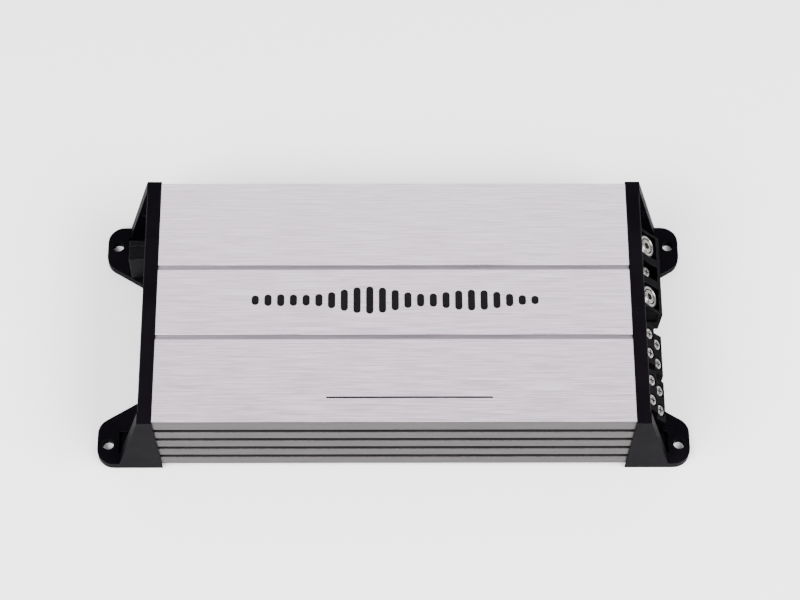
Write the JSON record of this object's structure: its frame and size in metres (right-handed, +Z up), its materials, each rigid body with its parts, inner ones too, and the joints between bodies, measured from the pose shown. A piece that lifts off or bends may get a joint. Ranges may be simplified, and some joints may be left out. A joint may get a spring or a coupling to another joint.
{
  "type": "car amplifier",
  "caption": "Compact finned-aluminium car audio amplifier with black moulded end caps, mounting tabs, screw terminals on one end and inputs with controls on the other.",
  "frame": {"origin": "middle of the footprint, on the surface the tabs stand on", "axes": "+X along the case towards the power and speaker terminals, +Z up out of the top, -Y towards the front face"},
  "size_m": [0.2788, 0.126, 0.0503],
  "materials": {
    "brushed_aluminium": "brushed along the length, clear anodised",
    "black_steel": "satin black powder coat",
    "black_plastic": "satin black moulding with a fine grain",
    "terminal_plastic": "matt black glass-filled nylon",
    "socket_plastic": "matt black",
    "knob_plastic": "satin black",
    "plated_steel": "bright nickel-plated steel",
    "nickel": "polished nickel plate",
    "black_screw": "black oxide",
    "circuit_board": "green solder mask on glass fibre",
    "component_body": "moulded epoxy",
    "magnetics": "wound ferrite core",
    "capacitor_sleeve": "shrink sleeve on an aluminium can",
    "indicator_lens": "clear blue lens"
  },
  "bodies": {
    "amplifier_body": {"heatsink_shell": "brushed_aluminium", "bottom_plate": "black_steel", "circuit_board": "circuit_board", "right_end_cap": "black_plastic", "right_cap_screw_front": "black_screw", "right_cap_screw_rear": "black_screw", "left_end_cap": "black_plastic", "left_cap_screw_front": "black_screw", "left_cap_screw_rear": "black_screw", "terminal_panel": "black_steel", "control_panel": "black_steel", "power_terminal_block": "terminal_plastic", "front_speaker_block": "terminal_plastic", "rear_speaker_block": "terminal_plastic", "high_level_socket": "socket_plastic", "input_jack_housing": "socket_plastic", "rear_left_input_jack": "nickel", "front_left_input_jack": "nickel", "rear_right_input_jack": "nickel", "front_right_input_jack": "nickel", "front_level_potentiometer": "component_body", "rear_level_potentiometer": "component_body", "high_pass_potentiometer": "component_body", "low_pass_potentiometer": "component_body", "front_filter_switch": "component_body", "rear_filter_switch": "component_body", "power_indicator": "indicator_lens", "supply_transformer": "magnetics", "supply_capacitor_1": "capacitor_sleeve", "supply_capacitor_2": "capacitor_sleeve", "supply_capacitor_3": "capacitor_sleeve", "output_inductor_1": "magnetics", "output_inductor_2": "magnetics", "output_inductor_3": "magnetics", "output_inductor_4": "magnetics", "audio_transistor_1": "component_body", "audio_transistor_2": "component_body", "supply_transistor_1": "component_body", "supply_transistor_2": "component_body"},
    "front_level_knob_body": {"front_level_knob": "knob_plastic"},
    "rear_level_knob_body": {"rear_level_knob": "knob_plastic"},
    "high_pass_knob_body": {"high_pass_knob": "knob_plastic"},
    "low_pass_knob_body": {"low_pass_knob": "knob_plastic"},
    "front_filter_slider_body": {"front_filter_slider": "knob_plastic"},
    "rear_filter_slider_body": {"rear_filter_slider": "knob_plastic"},
    "ground_clamp_body": {"ground_clamp_washer": "plated_steel"},
    "ground_screw_body": {"ground_terminal_screw": "plated_steel"},
    "positive_clamp_body": {"positive_clamp_washer": "plated_steel"},
    "positive_screw_body": {"positive_terminal_screw": "plated_steel"},
    "remote_screw_body": {"remote_terminal_screw": "plated_steel"},
    "front_left_negative_screw_body": {"front_left_negative_screw": "plated_steel"},
    "front_left_positive_screw_body": {"front_left_positive_screw": "plated_steel"},
    "front_right_negative_screw_body": {"front_right_negative_screw": "plated_steel"},
    "front_right_positive_screw_body": {"front_right_positive_screw": "plated_steel"},
    "rear_left_negative_screw_body": {"rear_left_negative_screw": "plated_steel"},
    "rear_left_positive_screw_body": {"rear_left_positive_screw": "plated_steel"},
    "rear_right_negative_screw_body": {"rear_right_negative_screw": "plated_steel"},
    "rear_right_positive_screw_body": {"rear_right_positive_screw": "plated_steel"}
  },
  "joints": [
    {"name": "front_level_knob_turn", "type": "hinge", "parent": "amplifier_body", "child": "front_level_knob_body", "pos_m": [-0.1118, -0.0189, 0.024], "axis": [-1, 0, 0], "range_deg": [-140, 140]},
    {"name": "rear_level_knob_turn", "type": "hinge", "parent": "amplifier_body", "child": "rear_level_knob_body", "pos_m": [-0.1118, -0.0273, 0.024], "axis": [-1, 0, 0], "range_deg": [-140, 140]},
    {"name": "high_pass_knob_turn", "type": "hinge", "parent": "amplifier_body", "child": "high_pass_knob_body", "pos_m": [-0.1118, -0.0357, 0.024], "axis": [-1, 0, 0], "range_deg": [-140, 140]},
    {"name": "low_pass_knob_turn", "type": "hinge", "parent": "amplifier_body", "child": "low_pass_knob_body", "pos_m": [-0.1118, -0.0441, 0.024], "axis": [-1, 0, 0], "range_deg": [-140, 140]},
    {"name": "front_filter_slide", "type": "slide", "parent": "amplifier_body", "child": "front_filter_slider_body", "axis": [0, 0, 1], "range_m": [-0.002, 0.002]},
    {"name": "rear_filter_slide", "type": "slide", "parent": "amplifier_body", "child": "rear_filter_slider_body", "axis": [0, 0, 1], "range_m": [-0.002, 0.002]},
    {"name": "ground_clamp_rise", "type": "slide", "parent": "amplifier_body", "child": "ground_clamp_body", "axis": [0.7431, 0, 0.6691], "range_m": [0, 0.0024]},
    {"name": "ground_screw_turn", "type": "hinge", "parent": "ground_clamp_body", "child": "ground_screw_body", "pos_m": [0.12244, 0.0145, 0.02579], "axis": [0.7431, 0, 0.6691], "range_deg": [0, 1080]},
    {"name": "positive_clamp_rise", "type": "slide", "parent": "amplifier_body", "child": "positive_clamp_body", "axis": [0.7431, 0, 0.6691], "range_m": [0, 0.0024]},
    {"name": "positive_screw_turn", "type": "hinge", "parent": "positive_clamp_body", "child": "positive_screw_body", "pos_m": [0.12244, 0.0418, 0.02579], "axis": [0.7431, 0, 0.6691], "range_deg": [0, 1080]},
    {"name": "remote_screw_rise", "type": "slide", "parent": "amplifier_body", "child": "remote_screw_body", "axis": [0.7431, 0, 0.6691], "range_m": [0, 0.002]},
    {"name": "front_left_negative_screw_rise", "type": "slide", "parent": "amplifier_body", "child": "front_left_negative_screw_body", "axis": [0.7431, 0, 0.6691], "range_m": [0, 0.002]},
    {"name": "front_left_positive_screw_rise", "type": "slide", "parent": "amplifier_body", "child": "front_left_positive_screw_body", "axis": [0.7431, 0, 0.6691], "range_m": [0, 0.002]},
    {"name": "front_right_negative_screw_rise", "type": "slide", "parent": "amplifier_body", "child": "front_right_negative_screw_body", "axis": [0.7431, 0, 0.6691], "range_m": [0, 0.002]},
    {"name": "front_right_positive_screw_rise", "type": "slide", "parent": "amplifier_body", "child": "front_right_positive_screw_body", "axis": [0.7431, 0, 0.6691], "range_m": [0, 0.002]},
    {"name": "rear_left_negative_screw_rise", "type": "slide", "parent": "amplifier_body", "child": "rear_left_negative_screw_body", "axis": [0.7431, 0, 0.6691], "range_m": [0, 0.002]},
    {"name": "rear_left_positive_screw_rise", "type": "slide", "parent": "amplifier_body", "child": "rear_left_positive_screw_body", "axis": [0.7431, 0, 0.6691], "range_m": [0, 0.002]},
    {"name": "rear_right_negative_screw_rise", "type": "slide", "parent": "amplifier_body", "child": "rear_right_negative_screw_body", "axis": [0.7431, 0, 0.6691], "range_m": [0, 0.002]},
    {"name": "rear_right_positive_screw_rise", "type": "slide", "parent": "amplifier_body", "child": "rear_right_positive_screw_body", "axis": [0.7431, 0, 0.6691], "range_m": [0, 0.002]}
  ],
  "couplings": [
    {"joint": "ground_screw_turn", "follows": "ground_clamp_rise", "rad_per_m": 7854},
    {"joint": "positive_screw_turn", "follows": "positive_clamp_rise", "rad_per_m": 7854}
  ]
}
